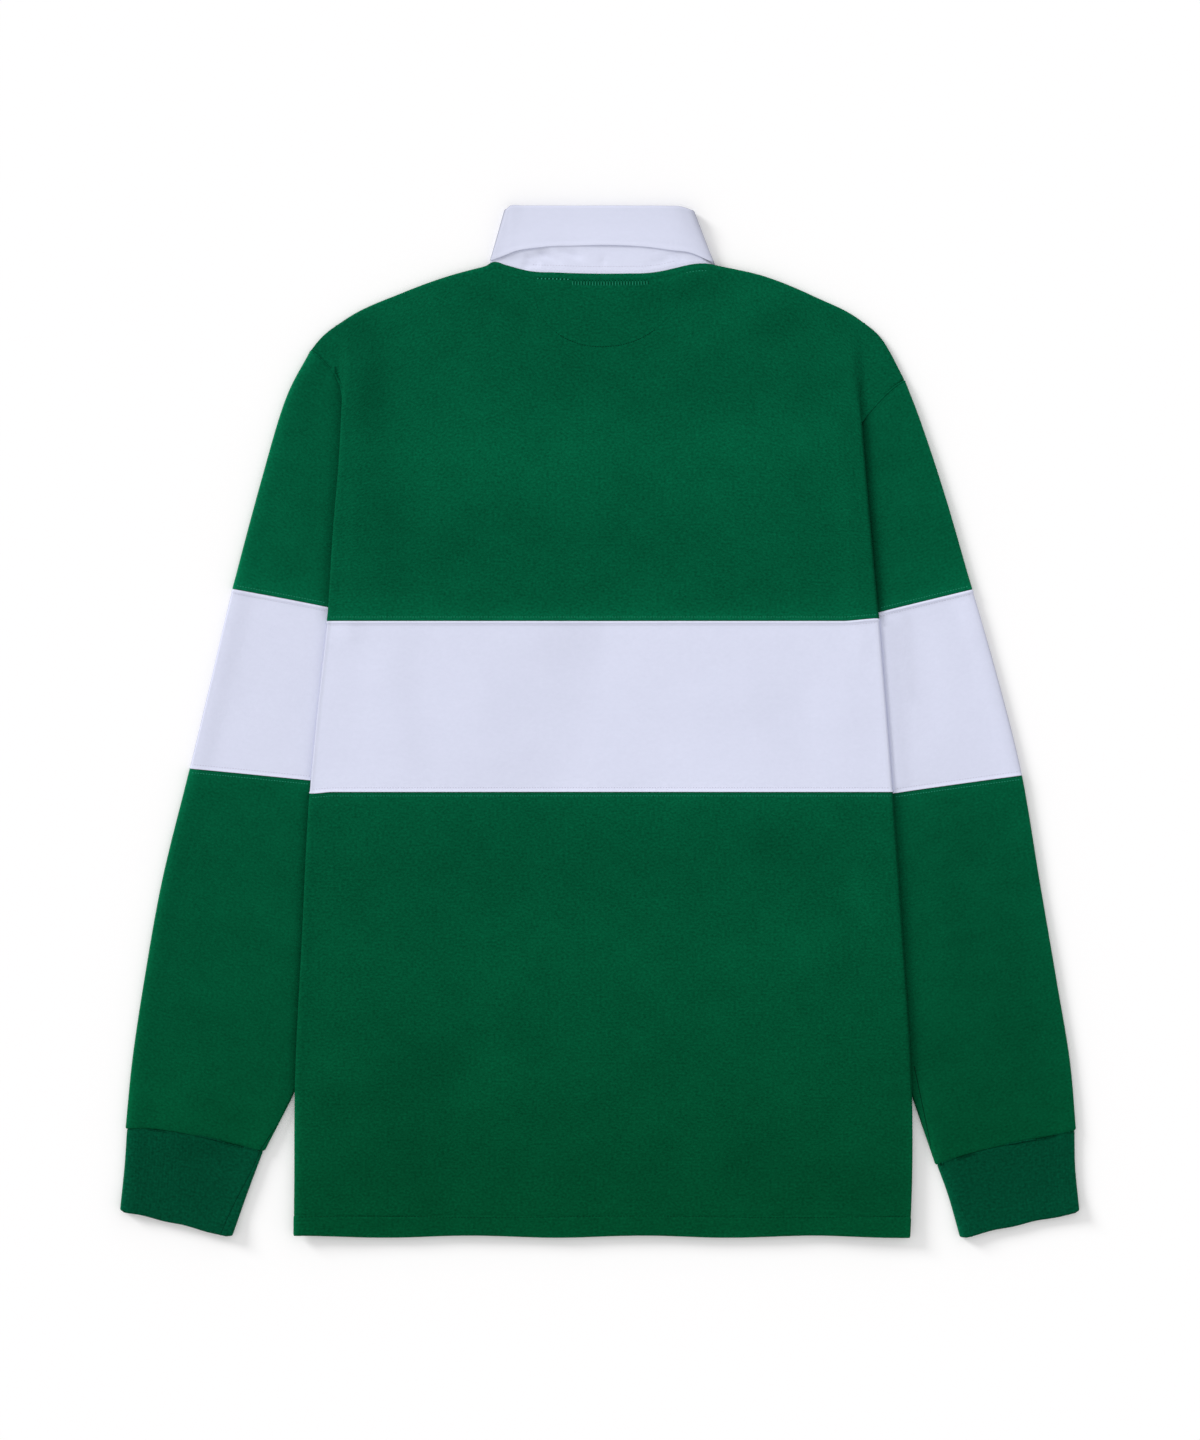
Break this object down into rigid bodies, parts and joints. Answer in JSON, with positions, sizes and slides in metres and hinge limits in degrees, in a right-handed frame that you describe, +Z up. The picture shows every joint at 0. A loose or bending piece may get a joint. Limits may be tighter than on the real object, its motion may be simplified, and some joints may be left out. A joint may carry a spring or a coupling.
{
  "type": "rugby shirt",
  "caption": "Long-sleeved heavy jersey rugby shirt with a woven collar and a contrast chest band, laid flat face down.",
  "frame": {"origin": "on the surface that the shirt lies on, under the middle of its outline", "axes": "+Z up from the surface, +Y from the hem to the collar, +X to the shirt's right-hand sleeve as seen from above"},
  "size_m": [0.7386, 0.7948, 0.0102],
  "materials": {
    "jersey_green": "matt heavy cotton jersey, dark green",
    "jersey_white": "matt heavy cotton jersey, cool white",
    "rib_green": "fine rib knit, dark green",
    "twill_white": "cotton twill, cool white",
    "button_white": "soft white rubber, satin"
  },
  "bodies": {
    "root": {"back_upper": "jersey_green", "back_band": "jersey_white", "back_lower": "jersey_green", "front_upper": "jersey_green", "front_band": "jersey_white", "front_lower": "jersey_green", "sleeve_upper_left": "jersey_green", "sleeve_band_left": "jersey_white", "sleeve_lower_left": "jersey_green", "cuff_left": "rib_green", "sleeve_upper_right": "jersey_green", "sleeve_band_right": "jersey_white", "sleeve_lower_right": "jersey_green", "cuff_right": "rib_green", "collar": "twill_white", "placket": "twill_white", "button_1": "button_white", "button_2": "button_white", "button_3": "button_white"}
  },
  "joints": []
}
